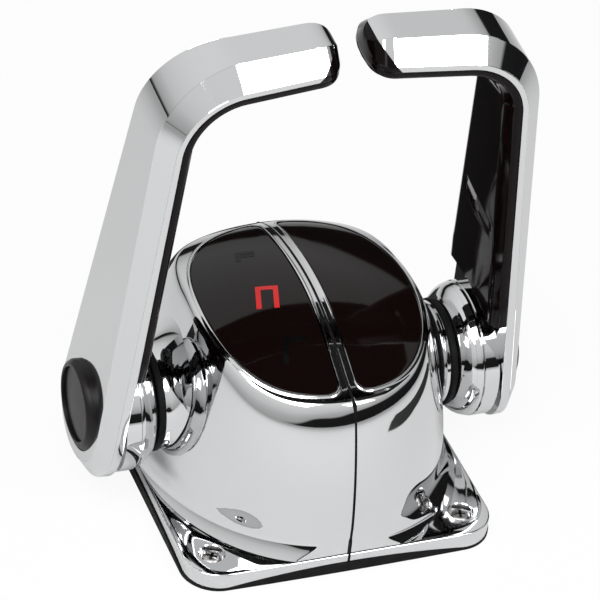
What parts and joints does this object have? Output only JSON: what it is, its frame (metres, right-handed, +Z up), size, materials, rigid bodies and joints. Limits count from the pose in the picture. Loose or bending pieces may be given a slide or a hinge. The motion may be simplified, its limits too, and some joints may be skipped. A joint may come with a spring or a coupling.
{
  "type": "boat throttle control lever",
  "caption": "Chrome twin-lever boat engine control: split dome on a gasketed base, cranked levers with black trim, neutral buttons and gear trains.",
  "frame": {"origin": "centre of the base's footprint on the console", "axes": "+X athwart to the right lever, +Y forward, +Z up from the console"},
  "size_m": [0.213, 0.162, 0.2478],
  "materials": {
    "chrome": "polished chrome plate on cast zinc",
    "panel": "dark grey gloss panel",
    "trim": "gloss black moulding",
    "bezel": "satin black moulding",
    "button": "dark grey gloss cap",
    "rubber": "black rubber",
    "screw": "stainless steel",
    "steel": "ground steel",
    "gear": "machined steel",
    "cast": "cast aluminium",
    "bush": "acetal"
  },
  "bodies": {
    "base": {"base_gasket": "rubber", "base_screws": "screw", "centre_seal": "rubber", "frame_screws": "screw", "mechanism_frame": "cast", "left_housing": "chrome", "left_top_panel": "panel", "left_shaft_bushing": "bush", "left_hub_seal": "rubber", "left_gear_axles": "steel", "right_housing": "chrome", "right_top_panel": "panel", "right_shaft_bushing": "bush", "right_hub_seal": "rubber", "right_gear_axles": "steel"},
    "left_lever": {"left_lever_shell": "chrome", "left_lever_trim": "trim", "left_trim_screw": "screw", "left_hub_cone": "chrome", "left_lever_shaft": "steel", "left_shaft_clip": "steel", "left_shaft_nut": "steel", "left_drive_gear": "gear", "left_button_bezel": "bezel"},
    "left_button": {"left_neutral_button": "button"},
    "left_shift_output": {"left_shift_gear": "gear", "left_shift_arm": "cast"},
    "left_throttle_output": {"left_throttle_gear": "gear", "left_throttle_arm": "cast"},
    "right_lever": {"right_lever_shell": "chrome", "right_lever_trim": "trim", "right_trim_screw": "screw", "right_hub_cone": "chrome", "right_lever_shaft": "steel", "right_shaft_clip": "steel", "right_shaft_nut": "steel", "right_drive_gear": "gear", "right_button_bezel": "bezel"},
    "right_button": {"right_neutral_button": "button"},
    "right_shift_output": {"right_shift_gear": "gear", "right_shift_arm": "cast"},
    "right_throttle_output": {"right_throttle_gear": "gear", "right_throttle_arm": "cast"}
  },
  "joints": [
    {"name": "left_lever_swing", "type": "hinge", "parent": "base", "child": "left_lever", "pos_m": [-0.088, 0.0055, 0.046], "axis": [-1, 0, 0], "range_deg": [-60, 75]},
    {"name": "left_button_press", "type": "slide", "parent": "left_lever", "child": "left_button", "axis": [1, 0, 0], "range_m": [0, 0.003], "stiffness_N_per_m": 400, "springref_m": -0.002},
    {"name": "left_shift_turn", "type": "hinge", "parent": "base", "child": "left_shift_output", "pos_m": [-0.03, -0.0325, 0.046], "axis": [-1, 0, 0], "range_deg": [-75, 60]},
    {"name": "left_throttle_turn", "type": "hinge", "parent": "base", "child": "left_throttle_output", "pos_m": [-0.03, 0.0435, 0.046], "axis": [-1, 0, 0], "range_deg": [-75, 60]},
    {"name": "right_lever_swing", "type": "hinge", "parent": "base", "child": "right_lever", "pos_m": [0.088, 0.0055, 0.046], "axis": [-1, 0, 0], "range_deg": [-60, 75]},
    {"name": "right_button_press", "type": "slide", "parent": "right_lever", "child": "right_button", "axis": [-1, 0, 0], "range_m": [0, 0.003], "stiffness_N_per_m": 400, "springref_m": -0.002},
    {"name": "right_shift_turn", "type": "hinge", "parent": "base", "child": "right_shift_output", "pos_m": [0.03, -0.0325, 0.046], "axis": [-1, 0, 0], "range_deg": [-75, 60]},
    {"name": "right_throttle_turn", "type": "hinge", "parent": "base", "child": "right_throttle_output", "pos_m": [0.03, 0.0435, 0.046], "axis": [-1, 0, 0], "range_deg": [-75, 60]}
  ],
  "couplings": [
    {"joint": "left_shift_turn", "follows": "left_lever_swing", "ratio": -1},
    {"joint": "left_throttle_turn", "follows": "left_lever_swing", "ratio": -1},
    {"joint": "right_shift_turn", "follows": "right_lever_swing", "ratio": -1},
    {"joint": "right_throttle_turn", "follows": "right_lever_swing", "ratio": -1}
  ]
}
